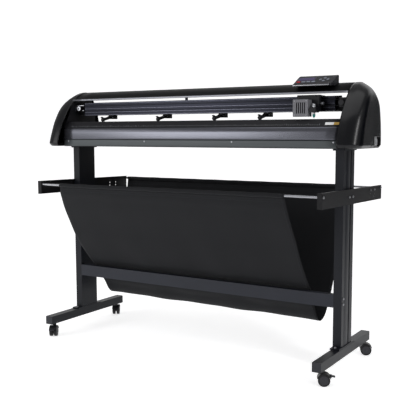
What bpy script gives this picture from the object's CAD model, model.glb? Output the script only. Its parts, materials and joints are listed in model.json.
import json
import math

import bmesh
import bpy
import numpy as np
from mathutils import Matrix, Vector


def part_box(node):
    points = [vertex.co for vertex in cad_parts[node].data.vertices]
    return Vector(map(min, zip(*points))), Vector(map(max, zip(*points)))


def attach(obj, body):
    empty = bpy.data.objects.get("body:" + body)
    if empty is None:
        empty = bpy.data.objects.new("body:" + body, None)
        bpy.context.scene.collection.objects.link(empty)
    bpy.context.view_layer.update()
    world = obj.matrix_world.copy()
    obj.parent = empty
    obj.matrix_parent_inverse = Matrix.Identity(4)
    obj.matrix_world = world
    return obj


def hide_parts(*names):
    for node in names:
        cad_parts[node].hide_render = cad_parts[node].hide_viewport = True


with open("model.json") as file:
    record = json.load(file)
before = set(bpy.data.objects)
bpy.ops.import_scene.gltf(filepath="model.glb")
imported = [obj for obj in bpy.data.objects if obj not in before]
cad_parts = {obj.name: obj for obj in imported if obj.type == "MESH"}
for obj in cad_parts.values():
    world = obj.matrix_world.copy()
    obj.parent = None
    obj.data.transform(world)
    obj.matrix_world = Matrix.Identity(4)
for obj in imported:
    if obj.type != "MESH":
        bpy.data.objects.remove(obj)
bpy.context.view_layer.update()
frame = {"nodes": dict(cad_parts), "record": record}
nodes = frame["nodes"]
MM = 0.001
# Corners are numbered with x slowest and z fastest, low before high
BOX_FACES = [(0, 1, 3, 2), (4, 6, 7, 5), (0, 4, 5, 1), (2, 3, 7, 6), (0, 2, 6, 4), (1, 5, 7, 3)]

# ---- Studio ----
# A pale sweep lit by four soft panels: overhead, high on the right, and two from the front left. A
# dark card on the right, which the camera doesn't see, keeps glare off the right-hand faces. Seen
# from the right front corner at chest height.
lens_mm = 62.944
camera_place = (1.8585, -2.9815, 1.0215)
camera_pitch = 90 - 6.0175
camera_yaw = 31.544
camera_roll = 0.11

camera_data = bpy.data.cameras.new("view_camera")
camera_data.lens = lens_mm
camera_data.sensor_width = 36
camera_data.clip_end = 60
camera = bpy.data.objects.new("view_camera", camera_data)
camera.location = camera_place
camera.rotation_euler = [math.radians(turn) for turn in (camera_pitch, camera_roll, camera_yaw)]
bpy.context.scene.collection.objects.link(camera)
bpy.context.scene.camera = camera


def linear(hex_colour):
    """sRGB hex to linear RGBA: below 0.04045 divide by 12.92, above it the 2.4 power curve."""
    srgb = np.array([int(hex_colour[i:i + 2], 16) for i in (1, 3, 5)]) / 255
    rgb = np.where(srgb <= 0.04045, srgb / 12.92, ((srgb + 0.055) / 1.055) ** 2.4)
    return (*rgb.tolist(), 1.0)


def node(finish, kind, feeds=None, **settings):
    """Adds one shader node: settings are its own options, feeds are socket values or links."""
    made = finish.node_tree.nodes.new(kind)
    for key, value in settings.items():
        setattr(made, key, value)
    for socket, value in (feeds or {}).items():
        if isinstance(value, bpy.types.NodeSocket):
            finish.node_tree.links.new(value, made.inputs[socket])
        else:
            made.inputs[socket].default_value = value
    return made


def new_finish(name, **values):
    """A finish named for the real material, with the shader's even values set on its own sockets.
    Dark satin surfaces here reflect weakly, so that is where every finish starts."""
    finish = bpy.data.materials.new(name)
    finish.use_nodes = True
    shader = finish.node_tree.nodes["Principled BSDF"]
    for socket, value in {"Specular_IOR_Level": 0.2, **values}.items():
        shader.inputs[socket.replace("_", " ")].default_value = value
    return finish, shader


def mottled(finish, shader, low, high, patch, grain, depth, stretch=(1, 1, 1)):
    """Colour drifts between low and high over patches of patch metres, and a grain of grain metres
    dents the surface by depth metres; stretch squeezes the grain along each axis."""
    link = finish.node_tree.links.new
    place = node(finish, "ShaderNodeTexCoord").outputs["Object"]
    drift = node(finish, "ShaderNodeTexNoise", {"Vector": place, "Scale": 1 / patch, "Detail": 3})
    tint = node(finish, "ShaderNodeMix", {0: drift.outputs["Fac"], 6: linear(low), 7: linear(high)},
                data_type="RGBA")
    link(tint.outputs[2], shader.inputs["Base Color"])
    drawn = node(finish, "ShaderNodeMapping", {"Vector": place, "Scale": stretch})
    grains = node(finish, "ShaderNodeTexNoise",
                  {"Vector": drawn.outputs["Vector"], "Scale": 1 / grain, "Detail": 2})
    dent = node(finish, "ShaderNodeBump",
                {"Height": grains.outputs["Fac"], "Strength": 1.0, "Distance": depth})
    link(dent.outputs["Normal"], shader.inputs["Normal"])


def coat(finish, *names):
    """Gives CAD nodes this finish."""
    for name in names:
        for part_slot in nodes[name].material_slots:
            part_slot.material = finish


def new_piece(name, finish, points, faces):
    """A piece of one finish from arrays of points in metres and faces of point numbers."""
    mesh = bpy.data.meshes.new(name)
    mesh.from_pydata(points.reshape(-1, 3).tolist(), [], faces.tolist())
    mesh.materials.append(finish)
    made = bpy.data.objects.new(name, mesh)
    bpy.context.scene.collection.objects.link(made)
    return made


def grid_quads(index):
    """The four point numbers of every cell of a grid of point numbers."""
    cells = [index[:-1, :-1], index[:-1, 1:], index[1:, 1:], index[1:, :-1]]
    return np.stack(cells, axis=-1).reshape(-1, 4)


def sweep_sheet(name, finish, x, y, z, closed_v=False, smooth=True):
    """A mesh over a grid of points x, y, z in metres: rows follow u, columns follow v."""
    rows, columns = x.shape
    index = np.arange(rows * columns).reshape(rows, columns)
    if closed_v:
        index = np.hstack([index, index[:, :1]])
    quads = grid_quads(index)
    made = new_piece(name, finish, np.stack([x, y, z], axis=-1), quads)
    made.data.polygons.foreach_set("use_smooth", np.full(len(quads), smooth))
    return made


backdrop_white, backdrop_shader = new_finish("backdrop_paper", Roughness=0.9, Emission_Strength=0.62)
backdrop_shader.inputs["Emission Color"].default_value = linear("#ffffff")
backdrop_shader.inputs["Base Color"].default_value = linear("#f4f4f5")
across, along = np.meshgrid(np.linspace(-14, 14, 2), np.linspace(0, 1, 60), indexing="ij")
# The paper runs flat, then climbs a quarter circle 3 m in radius behind the machine
bend = np.clip((along - 0.6) / 0.25, 0, 1) * math.pi / 2
backdrop = sweep_sheet("backdrop", backdrop_white, across,
                       -12 + np.minimum(along, 0.6) * 32 + 3 * np.sin(bend),
                       3 * (1 - np.cos(bend)) + np.clip(along - 0.85, 0, 1) * 60)

card_black, card_shader = new_finish("dark_card", Roughness=0.9)
card_shader.inputs["Base Color"].default_value = linear("#101012")
card_y, card_z = np.meshgrid([0.3, 7.0], [0.0, 2.8], indexing="ij")
glare_card = sweep_sheet("glare_card", card_black, np.full_like(card_y, 2.2), card_y, card_z)
glare_card.visible_camera = False


def panel_light(name, place, aim, size, watts):
    """A white oblong soft light at place, turned to face aim."""
    lamp = bpy.data.lights.new(name, "AREA")
    lamp.shape = "RECTANGLE"
    lamp.size, lamp.size_y = size
    lamp.energy = watts
    holder = bpy.data.objects.new(name, lamp)
    holder.location = place
    way = np.array(aim) - np.array(place)
    tilt = math.atan2(math.hypot(way[0], way[1]), -way[2])
    holder.rotation_euler = (tilt, 0, math.atan2(way[1], way[0]) - math.pi / 2)
    bpy.context.scene.collection.objects.link(holder)


panel_light("overhead_panel", (0.2, -0.6, 3.6), (0, 0, 0.8), (3.6, 2.2), 30)
panel_light("right_panel", (3.2, -1.1, 2.2), (0.8, 0, 1.0), (0.4, 1.6), 26)
panel_light("left_panel", (-3.4, -3.2, 2.2), (-0.2, 0, 0.8), (1.6, 2.2), 26)
panel_light("front_panel", (-1.9, -3.2, 1.3), (0, 0, 1.0), (1.3, 0.9), 26)

world = bpy.data.worlds.new("studio_air")
bpy.context.scene.world = world
world.use_nodes = True
world.node_tree.nodes["Background"].inputs["Color"].default_value = linear("#ffffff")
world.node_tree.nodes["Background"].inputs["Strength"].default_value = 0.3
bpy.context.scene.view_settings.view_transform = "Standard"

# ---- Feet, legs, beam and bin arms ----
# Square steel tube and folded steel, powder coated satin black. The stoved powder leaves a faint
# orange peel, and the parts are bolted together with zinc-plated button heads.
powder_coat, powder_shader = new_finish("powder_coated_steel", Roughness=0.42)
mottled(powder_coat, powder_shader, "#111318", "#171920", patch=0.22, grain=0.0022, depth=0.00016)
coat(powder_coat, "feet", "left_leg", "right_leg", "leg_plates")
beam_coat, beam_shader = new_finish("powder_coated_beam_tube", Roughness=0.4)
mottled(beam_coat, beam_shader, "#24262d", "#2c2e36", patch=0.22, grain=0.0022, depth=0.00016)
coat(beam_coat, "cross_beam")

folded_coat, folded_shader = new_finish("powder_coated_folded_steel", Roughness=0.5)
mottled(folded_coat, folded_shader, "#0f0f11", "#161619", patch=0.15, grain=0.002, depth=0.00018)
coat(folded_coat, "bin_arms")

plug_plastic, plug_shader = new_finish("moulded_polyethylene_plug", Roughness=0.55)
mottled(plug_plastic, plug_shader, "#2a2b30", "#34353a", patch=0.03, grain=0.0009, depth=0.00005)
coat(plug_plastic, "foot_end_caps")

zinc, zinc_shader = new_finish("zinc_plated_steel", Metallic=1.0, Roughness=0.34)
mottled(zinc, zinc_shader, "#8f9095", "#b4b5ba", patch=0.006, grain=0.0008, depth=0.00004)
coat(zinc, "stand_bolts")


def turned(name, finish, profile, place, axis, body, sides=32):
    """Carries a profile of (radius, height) in mm round an axis that starts at place, in metres."""
    radius, height = np.array(profile, float).T * MM
    turn = np.linspace(0, 2 * math.pi, sides, endpoint=False)
    along_axis = np.array(axis, float) / np.linalg.norm(axis)
    spare = np.array([0, 0, 1.0]) if abs(along_axis[2]) < 0.9 else np.array([1.0, 0, 0])
    first = np.cross(spare, along_axis)
    first /= np.linalg.norm(first)
    second = np.cross(along_axis, first)
    spoke = np.cos(turn)[None, :, None] * first + np.sin(turn)[None, :, None] * second
    points = np.array(place)[None, None] + height[:, None, None] * along_axis + radius[:, None, None] * spoke
    made = sweep_sheet(name, finish, *np.moveaxis(points, -1, 0), closed_v=True)
    tidy_mesh(made)
    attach(made, body)
    return made


def tidy_mesh(made, gap=1e-6):
    """Joins points that meet at poles and seams, and turns every face outwards."""
    shape = bmesh.new()
    shape.from_mesh(made.data)
    bmesh.ops.remove_doubles(shape, verts=shape.verts, dist=gap)
    bmesh.ops.dissolve_degenerate(shape, edges=shape.edges, dist=gap)
    bmesh.ops.recalc_face_normals(shape, faces=shape.faces)
    shape.to_mesh(made.data)
    shape.free()


def face_out(made, inside):
    """Turns an open shell so that its faces look away from a point inside it."""
    faces = made.data.polygons
    normals, middles = np.empty(len(faces) * 3), np.empty(len(faces) * 3)
    faces.foreach_get("normal", normals)
    faces.foreach_get("center", middles)
    away = middles.reshape(-1, 3) - np.array(inside)
    area = np.array([face.area for face in faces])
    if (area * (normals.reshape(-1, 3) * away).sum(axis=1)).sum() < 0:
        made.data.flip_normals()


def mirrored(places):
    """Each place and its twin on the other side of the machine."""
    return [(side * x, y, z) for x, y, z in places for side in (1, -1)]


# Hexagon sockets sunk in the button heads: a black disc in each
socket_black, socket_shader = new_finish("socket_shadow", Roughness=0.8)
socket_shader.inputs["Base Color"].default_value = linear("#0a0a0b")
leg_lo, leg_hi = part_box("right_leg")
leg_mid_x = (leg_lo[0] + leg_hi[0]) / 2
for number, place in enumerate(mirrored([(leg_mid_x, leg_lo[1] - 0.016, leg_lo[2] + 0.006),
                                         (leg_mid_x, leg_hi[1] + 0.016, leg_lo[2] + 0.006)])):
    turned(f"foot_bolt_socket_{number + 1}", socket_black, [(0, 0.3), (2.4, 0.3), (2.4, 0), (0, 0)],
           place, (0, 0, 1), "frame", sides=6)

# ---- Casters ----
# Twin-wheel furniture casters: a moulded nylon hood over two hard rubber wheels on a steel axle.
# Each wheel has a raised hub cap with a shallow dish, and the front pair has a brake tab.
caster_nylon, nylon_shader = new_finish("moulded_nylon", Roughness=0.38)
mottled(caster_nylon, nylon_shader, "#161618", "#202024", patch=0.02, grain=0.0011, depth=0.00006)
hard_rubber, rubber_shader = new_finish("hard_rubber_tyre", Roughness=0.62)
mottled(hard_rubber, rubber_shader, "#1d1d1f", "#2a2a2c", patch=0.015, grain=0.0007, depth=0.00006)
hub_grey, hub_shader = new_finish("moulded_hub_plastic", Roughness=0.45)
mottled(hub_grey, hub_shader, "#2e2e32", "#3a3a3f", patch=0.01, grain=0.0009, depth=0.00004)
hub_profile = [(0, 4.4), (3.2, 4.4), (4.0, 3.6), (6, 2.6), (13, 2.0), (15.5, 2.8), (17.5, 2.8), (18.6, 1.6),
               (18.6, -1.5)]
wheel_face = 0.016
joint_places = {j["name"]: j for j in frame["record"]["behaviour"]["joints"]}
for number in range(1, 5):
    coat(caster_nylon, f"caster_fork_{number}")
    coat(hard_rubber, f"caster_wheels_{number}")
    axle = joint_places[f"caster_spin_{number}"]
    middle, along_axle = np.array(axle["pos_m"]), np.array(axle["axis"])
    for side, name in ((1, "outer"), (-1, "inner")):
        turned(f"caster_hub_{name}_{number}", hub_grey, hub_profile, middle + side * wheel_face * along_axle,
               side * along_axle, f"caster_wheels_{number}", sides=40)
for number in (1, 2):
    coat(hub_grey, f"caster_brake_{number}")

# ---- Bin rods ----
# Two chromed steel tubes that carry the fabric, screwed to the arms through their ends.
chrome, chrome_shader = new_finish("chromed_steel_tube", Metallic=1.0, Roughness=0.25)
mottled(chrome, chrome_shader, "#909196", "#a6a7ac", patch=0.05, grain=0.003, depth=0.00001,
        stretch=(0.05, 1, 1))
coat(chrome, "bin_rods", "pinch_bar")

# ---- Fabric bin ----
# One length of black woven polyester with a sewn sleeve at each end for the rods. It hangs in a
# deep loop behind the beam, with a stitched hem down both sides. Solved as hanging cloth.
cloth_half_w = 0.599
cloth_shift = -0.016
flare = 0.112
belly_most = 0.045
sleeve_r = 0.0073
sleeve_around = 0.052
threads_per_metre = 420
front_rod = np.array([-0.340, 0.770])
rear_rod = np.array([0.338, 0.766])
# Section of the bin as [y, z] in metres, front rod to rear rod
bin_course = np.array([(-0.340, 0.7625), (-0.308, 0.722), (-0.272, 0.660), (-0.215, 0.575), (-0.162, 0.480),
                       (-0.100, 0.398), (-0.054, 0.340), (-0.030, 0.275), (0.000, 0.200), (0.038, 0.166),
                       (0.080, 0.176), (0.125, 0.226), (0.172, 0.300), (0.222, 0.410), (0.265, 0.530),
                       (0.300, 0.650), (0.328, 0.730), (0.338, 0.7585)])


def smooth_course(course, count):
    """Rounds a course of points by cutting its corners four times, then spaces count points evenly
    along its length."""
    for _ in range(4):
        cut = np.empty((2 * len(course) - 2, 2))
        cut[0::2] = 0.75 * course[:-1] + 0.25 * course[1:]
        cut[1::2] = 0.25 * course[:-1] + 0.75 * course[1:]
        course = np.vstack([course[:1], cut, course[-1:]])
    reach = np.concatenate([[0], np.cumsum(np.linalg.norm(np.diff(course, axis=0), axis=1))])
    even = np.linspace(0, reach[-1], count)
    spaced = np.stack([np.interp(even, reach, course[:, i]) for i in range(2)], axis=-1)
    return spaced, reach[-1]


polyester, polyester_shader = new_finish("woven_polyester", Roughness=0.8, Specular_IOR_Level=0.12,
                                         Sheen_Weight=0.03, Sheen_Roughness=0.5)
weave_uv = node(polyester, "ShaderNodeUVMap", uv_map="weave").outputs["UV"]
yarn = {way: node(polyester, "ShaderNodeTexWave", {"Vector": weave_uv, "Scale": threads_per_metre / math.tau,
                                                   "Distortion": 0.6, "Detail": 1.0},
                  bands_direction=way) for way in ("X", "Y")}
over_under = node(polyester, "ShaderNodeMath", {0: yarn["X"].outputs["Fac"], 1: yarn["Y"].outputs["Fac"]},
                  operation="MULTIPLY")
cloth_place = node(polyester, "ShaderNodeTexCoord").outputs["Object"]
worn = node(polyester, "ShaderNodeTexNoise", {"Vector": cloth_place, "Scale": 3.2, "Detail": 4})
worn_tint = node(polyester, "ShaderNodeMix", {0: worn.outputs["Fac"], 6: linear("#151517"),
                                              7: linear("#1c1d1f")}, data_type="RGBA")
yarn_tint = node(polyester, "ShaderNodeMix", {0: over_under.outputs["Value"], 6: worn_tint.outputs[2],
                                              7: linear("#242528")}, data_type="RGBA")
polyester.node_tree.links.new(yarn_tint.outputs[2], polyester_shader.inputs["Base Color"])
yarn_dent = node(polyester, "ShaderNodeBump", {"Height": over_under.outputs["Value"], "Strength": 0.7,
                                               "Distance": 0.0003})
polyester.node_tree.links.new(yarn_dent.outputs["Normal"], polyester_shader.inputs["Normal"])


def weave_map(mesh, rows, columns, width, length):
    """Lays the cloth's own flat size, in metres, over a grid mesh as its UV map."""
    flat_u, flat_v = np.meshgrid(np.linspace(0, width, rows), np.linspace(0, length, columns), indexing="ij")
    flat = np.stack([flat_u, flat_v], axis=-1).reshape(-1, 2)
    corner = np.empty(len(mesh.loops), int)
    mesh.loops.foreach_get("vertex_index", corner)
    mesh.uv_layers.new(name="weave").data.foreach_set("uv", flat[corner].ravel())


rows, columns = 97, 121
section, cloth_length = smooth_course(bin_course, columns)
cloth_u = np.linspace(-1, 1, rows)[:, None]
cloth_v = np.linspace(0, 1, columns)[None, :]
# A little fullness before it hangs: soft lengthwise folds that fade out towards both rods
fullness = np.sin(math.pi * cloth_v) ** 0.7
ripple = 0.002 * (np.sin(9.1 * cloth_u + 1.3 + 1.8 * cloth_v)
                  + 0.6 * np.sin(17.3 * cloth_u + 0.4 - 2.6 * cloth_v))
# The back panel is wider at its top left, where it reaches the leg, and the front panel's left edge
# bellies out between the rod and the beam
back_part = section[None, :, 0] > 0.1
belly = np.sin(math.pi * np.clip((0.7625 - section[None, :, 1]) / 0.5, 0, 1)) ** 0.7
spread = np.where(back_part, flare * np.clip((section[None, :, 1] - 0.300) / 0.340, 0, 1), belly_most * belly)
cloth_x = cloth_shift + cloth_half_w * cloth_u - spread * (1 - cloth_u) / 2
cloth_y = section[None, :, 0] + ripple * fullness
cloth_z = section[None, :, 1] + 0.5 * ripple * fullness
bin_cloth = sweep_sheet("bin_cloth", polyester, cloth_x, cloth_y, cloth_z)
weave_map(bin_cloth.data, rows, columns, 2 * cloth_half_w, cloth_length)


hang_frames = 24
hang_most = 0.008


def hang(cloth, held, obstacle_box):
    """Lets a cloth fall from the points that hold it, against one box, and moves each point no
    further than hang_most metres from where it started."""
    start = np.empty(len(cloth.data.vertices) * 3)
    cloth.data.vertices.foreach_get("co", start)
    start = start.reshape(-1, 3)
    pins = cloth.vertex_groups.new(name="held")
    pins.add(held.tolist(), 1.0, "REPLACE")
    lo, hi = obstacle_box
    bar_mesh = bpy.data.meshes.new("hang_bar")
    corners = [(x, y, z) for x in (lo[0], hi[0]) for y in (lo[1], hi[1]) for z in (lo[2], hi[2])]
    bar_mesh.from_pydata(corners, [], BOX_FACES)
    bar = bpy.data.objects.new("hang_bar", bar_mesh)
    bpy.context.scene.collection.objects.link(bar)
    bar.modifiers.new("solid", "COLLISION")
    bar.collision.thickness_outer = 0.004
    drape = cloth.modifiers.new("drape", "CLOTH")
    drape.settings.quality = 6
    drape.settings.mass = 0.25
    drape.settings.tension_stiffness = 30
    drape.settings.compression_stiffness = 12
    drape.settings.bending_stiffness = 1.2
    drape.settings.vertex_group_mass = "held"
    drape.collision_settings.distance_min = 0.004
    drape.point_cache.frame_end = hang_frames
    for step in range(1, hang_frames + 1):
        bpy.context.scene.frame_set(step)
    fallen = cloth.evaluated_get(bpy.context.evaluated_depsgraph_get()).to_mesh()
    end = np.empty(len(start) * 3)
    fallen.vertices.foreach_get("co", end)
    cloth.modifiers.remove(drape)
    bpy.data.objects.remove(bar)
    bpy.context.scene.frame_set(1)
    move = end.reshape(-1, 3) - start
    far = np.linalg.norm(move, axis=1, keepdims=True)
    move *= np.minimum(1, hang_most / np.maximum(far, 1e-9))
    cloth.data.vertices.foreach_set("co", (start + move).ravel())
    cloth.data.update()
    cloth.vertex_groups.clear()


beam_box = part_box("cross_beam")
held_points = (np.arange(rows)[:, None] * columns + np.array([0, 1, columns - 2, columns - 1])).ravel()
hang(bin_cloth, held_points, beam_box)
cloth_wall = bin_cloth.modifiers.new("thickness", "SOLIDIFY")
cloth_wall.thickness = 0.0014
cloth_wall.offset = 0


def sleeve(name, rod, lead, extra):
    """A tube of cloth round a rod, where the panel's end is sewn back on itself. Its radius swells
    softly along its length, and it runs extra metres further to the left."""
    sides = 40
    turn = np.linspace(0, 2 * math.pi, sides, endpoint=False)[None, :]
    slack = 0.0006 * np.sin(cloth_u * 31 + lead) * np.cos(turn + lead)
    radius = sleeve_r + slack
    sleeve_x = cloth_shift + cloth_half_w * cloth_u - extra * (1 - cloth_u) / 2 + 0 * turn
    made = sweep_sheet(name, polyester, sleeve_x, rod[0] + radius * np.sin(turn),
                       rod[1] + radius * np.cos(turn), closed_v=True)
    weave_map(made.data, rows, sides, 2 * cloth_half_w, sleeve_around)
    wall = made.modifiers.new("thickness", "SOLIDIFY")
    wall.thickness = 0.0012
    wall.offset = -1
    return made


sleeves = [sleeve("front_sleeve", front_rod, 0.3, 0), sleeve("rear_sleeve", rear_rod, 2.1, flare)]

# A row of stitches runs along each sleeve and down each side hem, in short dashes of dark thread on
# both faces of the cloth
thread_dark, thread_shader = new_finish("polyester_thread", Roughness=0.7)
thread_shader.inputs["Base Color"].default_value = linear("#2e2f33")


def stitches(name, middles, ways, lift):
    """One short six-sided dash of thread at each middle, along its way, raised by lift."""
    half, thick = 0.0019, 0.00045
    turn = np.linspace(0, 2 * math.pi, 6, endpoint=False)
    side = np.cross(ways, lift)
    side /= np.linalg.norm(side, axis=1, keepdims=True)
    ends = np.array([-1, -0.6, 0.6, 1]) * half
    swell = np.array([0.15, 1, 1, 0.15]) * thick
    points = (middles[:, None, None] + ends[None, :, None, None] * ways[:, None, None]
              + swell[None, :, None, None] * (np.cos(turn)[None, None, :, None] * side[:, None, None]
                                              + np.sin(turn)[None, None, :, None] * lift[:, None, None]))
    one = np.arange(24).reshape(4, 6)
    ring = np.hstack([one, one[:, :1]])
    quads = (grid_quads(ring)[None] + one.size * np.arange(len(middles))[:, None, None]).reshape(-1, 4)
    made = new_piece(name, thread_dark, points, quads)
    tidy_mesh(made, 1e-9)
    return made


cloth_points = np.empty(rows * columns * 3)
bin_cloth.data.vertices.foreach_get("co", cloth_points)
cloth_points = cloth_points.reshape(rows, columns, 3)


def hem_row(name, line):
    """Stitches 5.2 mm apart along a line of cloth points, on both faces of the cloth."""
    stride = 0.0052
    reach = np.concatenate([[0], np.cumsum(np.linalg.norm(np.diff(line, axis=0), axis=1))])
    spots = np.arange(stride, reach[-1] - stride, stride)
    middles = np.stack([np.interp(spots, reach, line[:, i]) for i in range(3)], axis=-1)
    ahead = np.stack([np.interp(spots + 0.001, reach, line[:, i]) for i in range(3)], axis=-1) - middles
    ahead /= np.linalg.norm(ahead, axis=1, keepdims=True)
    across_hem = np.where(np.abs(ahead[:, :1]) > 0.7, np.array([[0, -0.6, 0.8]]), np.array([[1.0, 0, 0]]))
    out = np.cross(ahead, across_hem)
    out /= np.linalg.norm(out, axis=1, keepdims=True)
    return [stitches(f"{name}_{face}", middles + sign * 0.0009 * out, ahead, sign * out)
            for face, sign in (("outside", 1), ("inside", -1))]


trims = []
for name, line in (("left_hem", cloth_points[1]), ("right_hem", cloth_points[-2]),
                   ("front_seam", cloth_points[:, 2]), ("rear_seam", cloth_points[:, -3])):
    trims += hem_row(f"{name}_stitches", line)
for piece in (bin_cloth, *sleeves, *trims):
    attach(piece, "frame")
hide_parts("bin_fabric")

# ---- Apron, base pan and bed ----
# The apron is a bent aluminium sheet in dark metallic lacquer: a low strip held by screws, a bright
# upright band, then a dark slope up to the bed. The bed is a flat extrusion with windows for the
# rollers.
apron_lo, apron_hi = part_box("front_apron")
bay_half = apron_hi[0]
# Sections as [y, z] in metres
strip_course = np.array([(-0.1500, 0.9545), (-0.1585, 0.9545), (-0.1620, 0.9575), (-0.1620, 0.9860),
                         (-0.1606, 0.9880), (-0.1560, 0.9882)])
band_course = np.array([(-0.1560, 0.9896), (-0.1630, 0.9898), (-0.1642, 0.9915), (-0.1645, 1.0070),
                        (-0.1642, 1.0230), (-0.1632, 1.0290), (-0.1605, 1.0375), (-0.1572, 1.0440),
                        (-0.1540, 1.0446)])
slope_course = np.array([(-0.1535, 1.0456), (-0.1562, 1.0458), (-0.1530, 1.0505), (-0.1430, 1.0630),
                         (-0.1350, 1.0752), (-0.1322, 1.0765), (-0.1305, 1.0760)])
apron_wall = 0.0018

apron_lacquer, apron_shader = new_finish("metallic_lacquer_aluminium", Metallic=0.8, Roughness=0.27)
mottled(apron_lacquer, apron_shader, "#55565d", "#5f6067", patch=0.5, grain=0.0016, depth=0.00002,
        stretch=(0.3, 1, 1))
strip_lacquer, strip_shader = new_finish("satin_lacquer_aluminium", Metallic=0.3, Roughness=0.44)
mottled(strip_lacquer, strip_shader, "#464a4c", "#505456", patch=0.4, grain=0.0016, depth=0.00006)
slope_lacquer, slope_shader = new_finish("matt_black_lacquer", Roughness=0.55)
mottled(slope_lacquer, slope_shader, "#141417", "#1b1b1f", patch=0.4, grain=0.0012, depth=0.00005)


def drawn_sheet(name, finish, course, count, wall):
    """A bent sheet: the course carried straight along X between the end caps, rounded at its bends
    into count points, then thickened to wall metres."""
    section, _ = smooth_course(course, count)
    along_x, step = np.meshgrid(np.linspace(-bay_half, bay_half, 24), np.arange(count), indexing="ij")
    made = sweep_sheet(name, finish, along_x, section[step, 0], section[step, 1])
    face_out(made, (0, -0.02, 1.05))
    thick = made.modifiers.new("wall", "SOLIDIFY")
    thick.thickness = wall
    thick.offset = -1
    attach(made, "frame")
    return made


apron_strip = drawn_sheet("apron_lower_strip", strip_lacquer, strip_course, 40, apron_wall)
apron_band = drawn_sheet("apron_band", apron_lacquer, band_course, 70, apron_wall)
apron_slope = drawn_sheet("apron_slope", slope_lacquer, slope_course, 50, apron_wall)
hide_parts("front_apron")

screw_profile = [(0, 0.5), (0.9, 0.5), (0.9, 1.5), (2.6, 1.3), (3.7, 0.6), (4.0, 0), (4.0, -1)]
for number, x in enumerate((-0.716, -0.239, 0.239, 0.716)):
    turned(f"apron_screw_{number + 1}", zinc, screw_profile, (x, apron_lo[1] + apron_wall, 0.9805),
           (0, -1, 0), "frame")

pan_sheet, pan_shader = new_finish("black_zinc_sheet", Metallic=0.2, Roughness=0.5)
mottled(pan_sheet, pan_shader, "#17171a", "#1f1f22", patch=0.3, grain=0.003, depth=0.00008)
coat(pan_sheet, "base_pan", "side_plates")

bed_coat, bed_shader = new_finish("hard_anodised_bed", Metallic=0.45, Roughness=0.46)
mottled(bed_coat, bed_shader, "#202024", "#2b2b30", patch=0.4, grain=0.0012, depth=0.00004,
        stretch=(0.2, 1, 1))
coat(bed_coat, "bed")


def boxes(name, finish, lows, highs, body="frame"):
    """Separate blocks in one piece, each from its low corner to its high corner, in metres."""
    lows, highs = np.asarray(lows, float), np.asarray(highs, float)
    pick = np.array([(x, y, z) for x in (0, 1) for y in (0, 1) for z in (0, 1)])
    points = np.where(pick[None], highs[:, None], lows[:, None])
    faces = np.array(BOX_FACES)[None] + 8 * np.arange(len(lows))[:, None, None]
    made = new_piece(name, finish, points, faces.reshape(-1, 4))
    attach(made, body)
    return made


def slope_patch(name, finish, x_pairs, up_pairs, lift=0.00025):
    """Flat quads printed on the apron's slope: up is the distance in metres from the slope's foot."""
    foot, head = np.array([-0.1532, 1.0502]), np.array([-0.1432, 1.0627])
    way = (head - foot) / np.linalg.norm(head - foot)
    out = np.array([-way[1], way[0]]) * lift
    x_pairs, up_pairs = np.asarray(x_pairs, float), np.asarray(up_pairs, float)
    corner_x = x_pairs[:, [0, 1, 1, 0]]
    corner_up = up_pairs[:, [0, 0, 1, 1]]
    points = np.stack([corner_x, foot[0] + way[0] * corner_up + out[0],
                       foot[1] + way[1] * corner_up + out[1]], axis=-1)
    made = new_piece(name, finish, points, np.arange(4 * len(x_pairs)).reshape(-1, 4))
    wall = made.modifiers.new("ink", "SOLIDIFY")
    wall.thickness = 0.0002
    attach(made, "frame")
    return made


# The ruler is screen printed in pale grey: a short tick each 10 mm and a long one each 50 mm
ruler_ink, ink_shader = new_finish("screen_print_grey", Roughness=0.6)
ink_shader.inputs["Base Color"].default_value = linear("#8b8d92")
tick_x = np.arange(-70, 66) * 0.01
tick_top = np.where(np.arange(-70, 66) % 5 == 0, 0.0075, 0.0045)
slope_patch("ruler_ticks", ruler_ink, np.stack([tick_x - 0.0006, tick_x + 0.0006], axis=-1),
            np.stack([0.001 + 0 * tick_top, 0.001 + tick_top], axis=-1))

label_white, white_shader = new_finish("vinyl_label_white", Roughness=0.4)
white_shader.inputs["Base Color"].default_value = linear("#d9dadb")
label_yellow, yellow_shader = new_finish("vinyl_label_amber", Roughness=0.4)
yellow_shader.inputs["Base Color"].default_value = linear("#a8873c")
label_up = [(0.002, 0.0155)]
slope_patch("blank_label_white", label_white, [(0.674, 0.712)], label_up, lift=0.0008)
slope_patch("blank_label_amber", label_yellow, [(0.712, 0.743)], label_up, lift=0.0008)

# The knife runs over a soft rubber strip let into the bed
strip_rubber, strip_rubber_shader = new_finish("cutting_strip_rubber", Roughness=0.6)
mottled(strip_rubber, strip_rubber_shader, "#141416", "#1e1e20", patch=0.05, grain=0.0008, depth=0.00005)
bed_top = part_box("bed")[1][2]
boxes("cutting_strip", strip_rubber, [(-0.699, -0.1276, bed_top - 0.0011)],
      [(0.699, -0.1204, bed_top - 0.0002)])

# ---- Rail, belt and drives ----
# The rail is a ribbed aluminium extrusion, anodised dark; a toothed rubber belt runs along its face
# between a pulley on the motor and a sprung idler at the left.
anodised, anodised_shader = new_finish("dark_anodised_extrusion", Metallic=0.85, Roughness=0.3)
mottled(anodised, anodised_shader, "#17181e", "#1f2027", patch=0.6, grain=0.0009, depth=0.00003,
        stretch=(0.02, 1, 1))
coat(anodised, "rail_beam")
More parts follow.
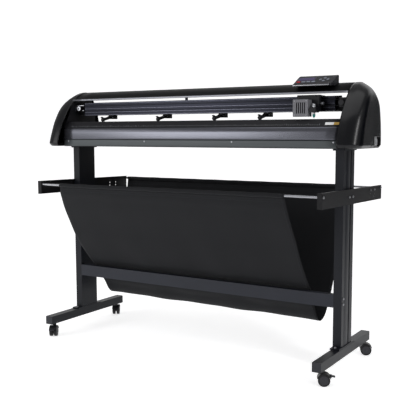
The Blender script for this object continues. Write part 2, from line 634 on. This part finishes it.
# The cutter leaves bright lands along the edges of the ribs
bright_land, land_shader = new_finish("bright_extrusion_land", Metallic=0.9, Roughness=0.3)
mottled(bright_land, land_shader, "#5c5d67", "#6b6c76", patch=0.5, grain=0.0009, depth=0.00002)
land_z = np.array([1.1115, 1.1255, 1.1425, 1.1690])
rail_lo, rail_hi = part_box("rail_beam")
boxes("rail_lands", bright_land, [(rail_lo[0] + 0.001, rail_lo[1] - 0.0002, z) for z in land_z],
      [(rail_hi[0] - 0.001, rail_lo[1] + 0.0005, z + 0.0009) for z in land_z])

belt_rubber, belt_shader = new_finish("toothed_belt_rubber", Roughness=0.66)
belt_place = node(belt_rubber, "ShaderNodeTexCoord").outputs["Object"]
# A wave texture at scale 1 repeats each 0.314 m; one band stands for three teeth of 2 mm pitch
wave_repeat, belt_pitch, teeth_per_band = 0.314, 0.00203, 3
belt_teeth = node(belt_rubber, "ShaderNodeTexWave",
                  {"Vector": belt_place, "Scale": wave_repeat / belt_pitch / teeth_per_band,
                   "Distortion": 0.0}, bands_direction="X")
belt_dent = node(belt_rubber, "ShaderNodeBump", {"Height": belt_teeth.outputs["Fac"], "Strength": 0.8,
                                                 "Distance": 0.0006})
belt_rubber.node_tree.links.new(belt_dent.outputs["Normal"], belt_shader.inputs["Normal"])
belt_shader.inputs["Base Color"].default_value = linear("#121214")
coat(belt_rubber, "carriage_belt")

milled, milled_shader = new_finish("milled_aluminium", Metallic=1.0, Roughness=0.3)
mottled(milled, milled_shader, "#a4a5aa", "#c2c3c7", patch=0.01, grain=0.0009, depth=0.00004)
coat(milled, "idler_pulley", "tool_holder")
knob_steel, knob_shader = new_finish("oiled_turned_steel", Metallic=0.9, Roughness=0.4)
mottled(knob_steel, knob_shader, "#56575b", "#65666a", patch=0.01, grain=0.0009, depth=0.00004)
coat(knob_steel, "clamp_knob")

motor_paint, motor_shader = new_finish("black_motor_lacquer", Metallic=0.3, Roughness=0.4)
mottled(motor_paint, motor_shader, "#222224", "#2e2e31", patch=0.03, grain=0.0015, depth=0.00006)
coat(motor_paint, "stepper_motors")

board_laminate, board_shader = new_finish("green_circuit_laminate", Roughness=0.35)
mottled(board_laminate, board_shader, "#174a2a", "#22633a", patch=0.012, grain=0.002, depth=0.00008)
coat(board_laminate, "electronics")

# The idler turns in a bright steel tensioner plate with two set screws
boxes("tensioner_plate", zinc,
      [(-0.7455, -0.0715, 1.1588), (-0.700, -0.0712, 1.1340), (-0.7455, -0.0715, 1.1335)],
      [(-0.6900, -0.0300, 1.1620), (-0.690, -0.0450, 1.1370), (-0.7400, -0.0450, 1.1600)])
for number, x in enumerate((-0.733, -0.704)):
    turned(f"tensioner_screw_{number + 1}", milled, [(0, 3), (2.2, 3), (2.6, 2.4), (2.6, 0), (1.5, -1)],
           (x, -0.055, 1.162), (0, 0, 1), "frame", sides=16)

grit_steel, grit_shader = new_finish("knurled_steel_roller", Metallic=1.0, Roughness=0.42)
mottled(grit_steel, grit_shader, "#7d7f84", "#9b9da2", patch=0.008, grain=0.0007, depth=0.00025)
coat(grit_steel, "grit_shaft")

# ---- Top cover ----
# A long curved cover rolled from aluminium sheet, painted black, with a satin grip rail along its
# front edge.
cover_course = np.array([(-0.0868, 1.1850), (-0.0862, 1.1875), (-0.0780, 1.1902), (-0.0670, 1.1980),
                         (-0.0370, 1.2168), (-0.0060, 1.2288), (0.0220, 1.2336), (0.0440, 1.2252),
                         (0.0620, 1.2025), (0.0680, 1.1930)])
cover_paint, cover_shader = new_finish("black_coil_coated_sheet", Roughness=0.45, Specular_IOR_Level=0.06)
mottled(cover_paint, cover_shader, "#070708", "#0b0b0d", patch=0.5, grain=0.003, depth=0.00006,
        stretch=(0.4, 1, 1))
cover_skin = drawn_sheet("cover_skin", cover_paint, cover_course, 90, 0.002)
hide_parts("top_cover")
lip_course = np.array([(-0.0835, 1.1835), (-0.0885, 1.1837), (-0.0898, 1.1850), (-0.0898, 1.1905),
                       (-0.0888, 1.1922), (-0.0800, 1.1925)])
lip_metal, lip_shader = new_finish("satin_anodised_trim", Metallic=0.8, Roughness=0.36)
mottled(lip_metal, lip_shader, "#6f7075", "#7d7e84", patch=0.5, grain=0.0009, depth=0.00003,
        stretch=(0.02, 1, 1))
cover_lip = drawn_sheet("cover_lip", lip_metal, lip_course, 36, 0.0015)

# ---- End caps ----
# Two domed covers moulded in black gloss ABS, 3 mm thick, with a drip line near the bottom edge.
# The right one has a recess for the power inlet and switch.
cap_section = np.array([(-0.1980, 0.9552), (-0.2020, 0.9555), (-0.2065, 0.9615), (-0.2104, 0.9680),
                        (-0.2092, 0.9690), (-0.2106, 0.9706), (-0.2092, 0.9755), (-0.200, 1.003),
                        (-0.186, 1.038), (-0.168, 1.079), (-0.145, 1.115), (-0.122, 1.147),
                        (-0.095, 1.176), (-0.068, 1.199), (-0.037, 1.2185), (-0.006, 1.231),
                        (0.022, 1.2345), (0.047, 1.2255), (0.066, 1.201), (0.083, 1.175), (0.098, 1.140),
                        (0.110, 1.100), (0.120, 1.055), (0.1246, 1.010), (0.1248, 0.975), (0.1246, 0.968),
                        (0.1205, 0.9610), (0.1165, 0.9555), (0.1125, 0.9552)])
cap_length = 0.091
corner_reach = 0.062
straight_part = 0.30
# The outer face is drawn in from the section to its middle over this length
face_reach = 0.168
corner_draw = corner_reach / face_reach
cap_middle_y = -0.043
cap_foot_z = 0.9552
# The outer face leans in above the shoulder, and rolls in at the foot
shoulder_z, crown_height, crown_lean = 1.108, 0.126, 0.045
roll_top_z, roll_height, foot_lean = 0.968, 0.0125, 0.008

gloss_abs, abs_shader = new_finish("moulded_gloss_abs", Roughness=0.26, Specular_IOR_Level=0.25,
                                   Coat_Weight=0.06, Coat_Roughness=0.12)
mottled(gloss_abs, abs_shader, "#08090c", "#0b0c10", patch=0.2, grain=0.005, depth=0.00003)


def cap_surface(name, side):
    """The section, open along its bottom, carried out along X, then drawn in over a quarter round
    at the outer corner and across the outer face to a seam at the floor. Above the shoulder the
    outer face leans inwards, by a power curve of height."""
    section, _ = smooth_course(cap_section, 150)
    straight = np.stack([np.linspace(0, straight_part, 6), np.zeros(6)], axis=-1)
    turn = np.linspace(0, math.pi / 2, 21)[1:]
    corner = np.stack([straight_part + (1 - straight_part) * np.sin(turn),
                       (1 - np.cos(turn)) * corner_reach / face_reach], axis=-1)
    face = np.stack([np.ones(16), np.linspace(corner_draw, 1, 17)[1:]], axis=-1)
    rings = np.vstack([straight, corner, face])
    out, draw = rings[:, :1], rings[:, 1:]
    y = cap_middle_y + (section[None, :, 0] - cap_middle_y) * (1 - draw)
    rise = np.interp(draw, [0, corner_draw, 1], [1, 0.867, 0.05])
    z = cap_foot_z + (section[None, :, 1] - cap_foot_z) * rise
    lean = (crown_lean * np.clip((z - shoulder_z) / crown_height, 0, 1) ** 2.6
            + foot_lean * np.clip((roll_top_z - z) / roll_height, 0, 1))
    x = bay_half + cap_length * out - lean * out ** 2 * (3 - 2 * out) - 0.0015 * np.clip(draw - 0.18, 0, 1)
    made = sweep_sheet(name, gloss_abs, side * x, y, z)
    tidy_mesh(made, 2e-5)
    return made


def floor_plate(name, side):
    """The cap's flat underside, closing the outline left open by the section: a fan of strips."""
    section, _ = smooth_course(cap_section, 150)
    turn = np.linspace(0, math.pi / 2, 21)
    reach = np.concatenate([[0], straight_part + (1 - straight_part) * np.sin(turn)])
    draw = np.concatenate([[0], (1 - np.cos(turn)) * corner_reach / face_reach])
    front = cap_middle_y + (section[0, 0] - cap_middle_y) * (1 - draw)
    rear = cap_middle_y + (section[-1, 0] - cap_middle_y) * (1 - draw)
    blend_y = np.linspace(0, 1, 12)[None, :]
    y = front[:, None] * (1 - blend_y) + rear[:, None] * blend_y
    outward = bay_half + cap_length * reach - foot_lean * reach ** 2 * (3 - 2 * reach)
    x = np.repeat(outward[:, None], blend_y.size, axis=1)
    made = sweep_sheet(name, gloss_abs, side * x, y, np.full_like(y, cap_foot_z + 0.0004))
    tidy_mesh(made)
    if made.data.polygons[0].normal.z > 0:
        made.data.flip_normals()
    return made


def cut_away(piece, block):
    """Takes a block out of a piece, then drops the block."""
    saw = piece.modifiers.new("recess", "BOOLEAN")
    saw.object = block
    saw.solver = "EXACT"
    cut = bpy.data.meshes.new_from_object(piece.evaluated_get(bpy.context.evaluated_depsgraph_get()))
    piece.modifiers.clear()
    piece.data = cut
    bpy.data.objects.remove(block)


bay_lo, bay_hi = (0.8235, -0.008, 0.962), (0.870, 0.058, 1.003)
for side, name in ((-1, "left"), (1, "right")):
    cap = cap_surface(f"{name}_cap_dome", side)
    face_out(cap, (side * bay_half, cap_middle_y, 1.07))
    wall = cap.modifiers.new("wall", "SOLIDIFY")
    wall.thickness = 0.003
    wall.offset = -1
    if side > 0:
        cut_away(cap, boxes("port_recess", gloss_abs, [bay_lo], [bay_hi]))
    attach(cap, "frame")
    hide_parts(f"{name}_end_cap")
    base = floor_plate(f"{name}_cap_floor", side)
    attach(base, "frame")

# ---- Control panel and keys ----
# A moulded ABS console on the right end of the cover. A printed bezel frames a blank violet display
# window on its slope, and soft keys stand through it.
console_abs, console_shader = new_finish("textured_abs_console", Roughness=0.4)
mottled(console_abs, console_shader, "#18181c", "#212126", patch=0.05, grain=0.0012, depth=0.00008)
coat(console_abs, "control_panel")
slope_foot = np.array([0, -0.085, 1.224])
slope_turn = math.radians(28.84)
slope_up = np.array([0, math.cos(slope_turn), math.sin(slope_turn)])
slope_out = np.array([0, -math.sin(slope_turn), math.cos(slope_turn)])


def console_slab(name, finish, low, high, corner):
    """A rounded plate on the console's slope: x across, y up the slope and z out of it, in metres."""
    turn = np.linspace(0, math.pi / 2, 7)
    arcs = [(high[0] - corner, high[1] - corner, 0), (low[0] + corner, high[1] - corner, 1),
            (low[0] + corner, low[1] + corner, 2), (high[0] - corner, low[1] + corner, 3)]
    quarter = math.pi / 2
    outline = np.array([(cx + corner * math.cos(t + q * quarter), cy + corner * math.sin(t + q * quarter))
                        for cx, cy, q in arcs for t in turn])
    middle = outline.mean(axis=0)
    steps = [(0, low[2]), (1, low[2]), (1, high[2] - 0.0003), (0.985, high[2]), (0, high[2])]
    flat = np.array([[(*(middle + (p - middle) * grow), height) for p in outline] for grow, height in steps])
    points = (flat[..., :1] * np.array([1.0, 0, 0]) + slope_foot + flat[..., 1:2] * slope_up
              + flat[..., 2:] * slope_out)
    made = sweep_sheet(name, finish, *np.moveaxis(points, -1, 0), closed_v=True, smooth=False)
    tidy_mesh(made)
    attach(made, "frame")
    return made


overlay_film, overlay_shader = new_finish("printed_overlay_film", Roughness=0.3, Coat_Weight=0.4,
                                          Coat_Roughness=0.1)
mottled(overlay_film, overlay_shader, "#26222f", "#2c2838", patch=0.05, grain=0.0007, depth=0.00002)
display_glass, display_shader = new_finish("violet_display_window", Roughness=0.12, Coat_Weight=1.0,
                                           Coat_Roughness=0.04, Emission_Strength=0.05)
display_shader.inputs["Emission Color"].default_value = linear("#4b3f8f")
mottled(display_glass, display_shader, "#241448", "#2d1b56", patch=0.03, grain=0.02, depth=0.000001)
console_slab("display_bezel", overlay_film, (0.5005, 0.0325, -0.0009), (0.5855, 0.0665, 0.0006), 0.003)
console_slab("display_window", display_glass, (0.5065, 0.0370, 0.0004), (0.5795, 0.0620, 0.0009), 0.0015)

boxes("console_edge_trim", chrome, [(0.4955, -0.0862, 1.2185), (0.6585, -0.0862, 1.2222)],
      [(0.660, -0.0849, 1.2222), (0.660, -0.0849, 1.2275)])
key_tones = {"power_key": ("#b5242c", "#c4323a")}
key_tones.update({f"function_key_{number}": ("#7f8693", "#8d93a0") for number in (1, 2, 3)})
key_tones.update({f"{way}_key": ("#777c87", "#858a95") for way in ("up", "down", "left", "right")})
for name, (low, high) in key_tones.items():
    silicone, silicone_shader = new_finish(f"silicone_{name}", Roughness=0.5)
    mottled(silicone, silicone_shader, low, high, patch=0.01, grain=0.0006, depth=0.00003)
    coat(silicone, name)

# Each arrow key has a raised triangle that points its way
arrow_ink, arrow_shader = new_finish("arrow_print", Roughness=0.5)
arrow_shader.inputs["Base Color"].default_value = linear("#2a2b33")
for name, turn_to in (("up_key", 90), ("left_key", 180), ("down_key", 270), ("right_key", 0)):
    lo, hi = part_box(name)
    middle = (np.array(lo) + np.array(hi)) / 2
    up_slope = float((middle - slope_foot) @ slope_up)
    tip = np.radians(turn_to + np.array([0, 140, 220]))
    flat_x, flat_y = middle[0] + 0.0028 * np.cos(tip), up_slope + 0.0028 * np.sin(tip)
    ring = [flat_x[:, None] * [[1, 0, 0]] + slope_foot + flat_y[:, None] * slope_up + height * slope_out
            for height in (0.0014, 0.0017)]
    middle_ring = np.repeat(ring[1].mean(axis=0)[None], 3, axis=0)
    points = np.stack([ring[0], ring[1], middle_ring])
    mark = sweep_sheet(f"{name}_mark", arrow_ink, *np.moveaxis(points, -1, 0), closed_v=True, smooth=False)
    tidy_mesh(mark)
    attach(mark, name)

# ---- Ports ----
# A pressed steel plate at the back of the recess carries the inlet and the rocker switch.
port_steel, port_shader = new_finish("nickel_plated_port_plate", Metallic=0.35, Roughness=0.4)
mottled(port_steel, port_shader, "#b9babd", "#cecfd2", patch=0.01, grain=0.0009, depth=0.00004)
coat(port_steel, "power_inlet")
rocker_red, rocker_shader = new_finish("moulded_rocker_nylon", Roughness=0.3)
mottled(rocker_red, rocker_shader, "#8e1a18", "#a02220", patch=0.01, grain=0.001, depth=0.00003)
coat(rocker_red, "power_switch")
recess_black, recess_shader = new_finish("recess_abs", Roughness=0.5)
mottled(recess_black, recess_shader, "#0e0e10", "#131316", patch=0.03, grain=0.001, depth=0.00005)
(collar_y0, collar_z0), (collar_y1, collar_z1) = (0.0015, 0.9690), (0.0285, 0.9930)
boxes("inlet_collar", port_steel,
      [(0.8262, collar_y0, collar_z0), (0.8262, collar_y1 - 0.003, collar_z0),
       (0.8262, collar_y0, collar_z0), (0.8262, collar_y0, collar_z1 - 0.003)],
      [(0.8355, collar_y0 + 0.003, collar_z1), (0.8355, collar_y1, collar_z1),
       (0.8353, collar_y1, collar_z0 + 0.003), (0.8353, collar_y1, collar_z1)])
x_in, x_out, wall_t = bay_lo[0], 0.8320, 0.0022
boxes("port_recess_walls", recess_black,
      [(x_in, bay_lo[1] - wall_t, bay_lo[2] - wall_t), (x_in, bay_hi[1], bay_lo[2] - wall_t),
       (x_in, bay_lo[1], bay_lo[2] - wall_t), (x_in, bay_lo[1], bay_hi[2])],
      [(x_out, bay_lo[1], bay_hi[2] + wall_t), (x_out - 0.001, bay_hi[1] + wall_t, bay_hi[2] + wall_t),
       (x_out, bay_hi[1], bay_lo[2]), (x_out - 0.001, bay_hi[1], bay_hi[2] + wall_t)])

# ---- Carriage ----
# A moulded black body that runs along the rail, with a slotted grey housing over the knife solenoid.
carriage_abs, carriage_shader = new_finish("moulded_carriage_abs", Roughness=0.42)
mottled(carriage_abs, carriage_shader, "#131315", "#1b1b1e", patch=0.03, grain=0.0011, depth=0.00006)
coat(carriage_abs, "carriage")
carriage_lo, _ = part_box("carriage")

face_grey, face_shader = new_finish("grey_textured_housing", Roughness=0.5)
mottled(face_grey, face_shader, "#636367", "#707074", patch=0.02, grain=0.0009, depth=0.00008)
face_x0, face_x1 = carriage_lo[0] - 0.0008, carriage_lo[0] + 0.0678
face_y0, face_y1 = -0.1462, -0.1440
face_z0, face_z1 = 1.0868, 1.1585
slot_x = carriage_lo[0] + 0.014 + 0.009 * np.arange(5)
slot_z = (1.100, 1.146)
rib_lows = [(face_x0, face_y0, face_z0), (face_x0, face_y0, slot_z[1]), (face_x0, face_y0, slot_z[0])]
rib_highs = [(face_x1, face_y1, slot_z[0]), (face_x1, face_y1, face_z1), (slot_x[0], face_y1, slot_z[1])]
for left_edge, right_edge in zip(slot_x + 0.005, [*slot_x[1:], face_x1]):
    rib_lows.append((left_edge, face_y0, slot_z[0]))
    rib_highs.append((right_edge, face_y1, slot_z[1]))
face = boxes("carriage_face", face_grey, rib_lows, rib_highs, "carriage")
tidy_mesh(face, 1e-5)
face_edge = face.modifiers.new("edge", "BEVEL")
face_edge.width = 0.0005
face_edge.segments = 2
skin, housing_back = 0.0008, -0.106
skin_lows = [(face_x0, face_y1, face_z0), (face_x1 - skin, face_y1, face_z0),
             (face_x0, face_y1, face_z1 - skin)]
skin_highs = [(face_x0 + skin, housing_back, face_z1), (face_x1, housing_back, face_z1),
              (face_x1, housing_back, face_z1)]
housing = boxes("carriage_housing", face_grey, skin_lows, skin_highs, "carriage")
face_screw_profile = [(0, 0.6), (0.8, 0.6), (0.8, 1.2), (2.0, 1.0), (2.6, 0.2), (2.6, -1)]
for number, (x, z) in enumerate(((0.007, 1.1520), (0.060, 1.1520), (0.007, 1.0935), (0.060, 1.0935))):
    turned(f"carriage_screw_{number + 1}", zinc, face_screw_profile, (carriage_lo[0] + x, face_y0, z),
           (0, -1, 0), "carriage", sides=20)
for number, x in enumerate((0.020, 0.050, 0.081)):
    turned(f"carriage_top_screw_{number + 1}", zinc, [(0, 1.0), (1.6, 0.9), (2.2, 0.2), (2.2, -1)],
           (carriage_lo[0] + x, -0.095, 1.178), (0, 0, 1), "carriage", sides=16)

# A turned knife holder in a split clamp, with a teal nylon nose round the blade
nose_nylon, nose_shader = new_finish("teal_nylon_nose", Roughness=0.4)
mottled(nose_nylon, nose_shader, "#286f66", "#338076", patch=0.01, grain=0.001, depth=0.00003)
tool_lo, tool_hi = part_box("tool_holder")
tool_x, tool_y = (tool_lo[0] + tool_hi[0]) / 2, (tool_lo[1] + tool_hi[1]) / 2
turned("tool_nose", nose_nylon, [(3.9, 0), (6.4, 6.6), (6.5, 9), (6.5, 13), (6.05, 13.4), (6.05, 12)],
       (tool_x, tool_y, 1.0832), (0, 0, 1), "tool_holder", sides=40)
for number, z in enumerate((1.1295, 1.1325, 1.1355)):
    turned(f"tool_grip_ring_{number + 1}", milled, [(7.4, 0), (8.1, 0.5), (8.1, 1.3), (7.4, 1.8)],
           (tool_x, tool_y, z), (0, 0, 1), "tool_holder", sides=40)
knob_lo, knob_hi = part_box("clamp_knob")
knob_y, knob_z = (knob_lo[1] + knob_hi[1]) / 2, (knob_lo[2] + knob_hi[2]) / 2
for number in range(5):
    turned(f"clamp_knob_ring_{number + 1}", knob_steel, [(6.9, 0), (7.5, 0.4), (7.5, 1.1), (6.9, 1.5)],
           (knob_hi[0] - 0.0115 + 0.0022 * number, knob_y, knob_z), (1, 0, 0), "clamp_knob", sides=40)

# ---- Pinch rollers ----
# Four sprung arms hang from the bar under the rail. Each holds a rubber wheel in its fork, has a
# lift tab at its nose, and a wire spring round its pivot.
arm_nylon, arm_shader = new_finish("moulded_arm_nylon", Roughness=0.36)
mottled(arm_nylon, arm_shader, "#101012", "#18181b", patch=0.02, grain=0.001, depth=0.00006)
pinch_rubber, pinch_shader = new_finish("ground_pinch_rubber", Roughness=0.6)
mottled(pinch_rubber, pinch_shader, "#28282a", "#333336", patch=0.01, grain=0.0006, depth=0.00005)


def wire(name, finish, path, radius, body, sides):
    """A round wire carried along a path of points in metres, with closed ends."""
    ahead = np.gradient(path, axis=0)
    ahead /= np.linalg.norm(ahead, axis=1, keepdims=True)
    spare = np.array([1.0, 0.02, 0.01])
    first = np.cross(ahead, spare)
    first /= np.linalg.norm(first, axis=1, keepdims=True)
    second = np.cross(ahead, first)
    turn = np.linspace(0, 2 * math.pi, sides, endpoint=False)
    thick = np.full(len(path), radius)
    path = np.vstack([path[:1], path, path[-1:]])
    first = np.vstack([first[:1], first, first[-1:]])
    second = np.vstack([second[:1], second, second[-1:]])
    thick = np.concatenate([[0], thick, [0]])
    spoke = np.cos(turn)[None, :, None] * first[:, None] + np.sin(turn)[None, :, None] * second[:, None]
    points = path[:, None] + thick[:, None, None] * spoke
    made = sweep_sheet(name, finish, *np.moveaxis(points, -1, 0), closed_v=True)
    tidy_mesh(made)
    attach(made, body)
    return made


spring_turns, spring_r = 6, 0.0062
for number in range(1, 5):
    coat(arm_nylon, f"pinch_carrier_{number}", f"pinch_arm_{number}")
    coat(pinch_rubber, f"pinch_wheel_{number}")
    wheel_x, wheel_y, wheel_z = joint_places[f"pinch_spin_{number}"]["pos_m"]
    # The tab is a thin curved blade that rises from the fork's nose
    tab_u, tab_v = np.meshgrid(np.linspace(-1, 1, 9), np.linspace(0, 1, 9), indexing="ij")
    tab = sweep_sheet(f"pinch_tab_{number}", arm_nylon, wheel_x + 0.0085 * tab_u * (1 - 0.25 * tab_v ** 2),
                      wheel_y + 0.0005 - 0.012 * np.sin(tab_v * 1.3),
                      wheel_z + 0.0098 + 0.0042 * tab_v ** 2 - 0.0006 * tab_u ** 2)
    thick = tab.modifiers.new("wall", "SOLIDIFY")
    thick.thickness = 0.0018
    thick.offset = 0
    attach(tab, f"pinch_arm_{number}")
    pivot_x, pivot_y, pivot_z = joint_places[f"pinch_lift_{number}"]["pos_m"]
    for side, way in (("left", -1), ("right", 1)):
        turned(f"pinch_pin_{side}_{number}", zinc, [(0, 1.0), (2.4, 0.7), (3.0, 0), (3.0, -0.6)],
               (pivot_x + way * 0.0153, pivot_y, pivot_z), (way, 0, 0), f"pinch_carrier_{number}", sides=20)
    coil = np.linspace(0, spring_turns * 2 * math.pi, 150)
    spring_path = np.stack([pivot_x - 0.005 + 0.010 * coil / coil[-1], pivot_y + spring_r * np.cos(coil),
                            pivot_z + spring_r * np.sin(coil)], axis=-1)
    wire(f"pinch_spring_{number}", zinc, spring_path, 0.0005, f"pinch_arm_{number}", sides=8)
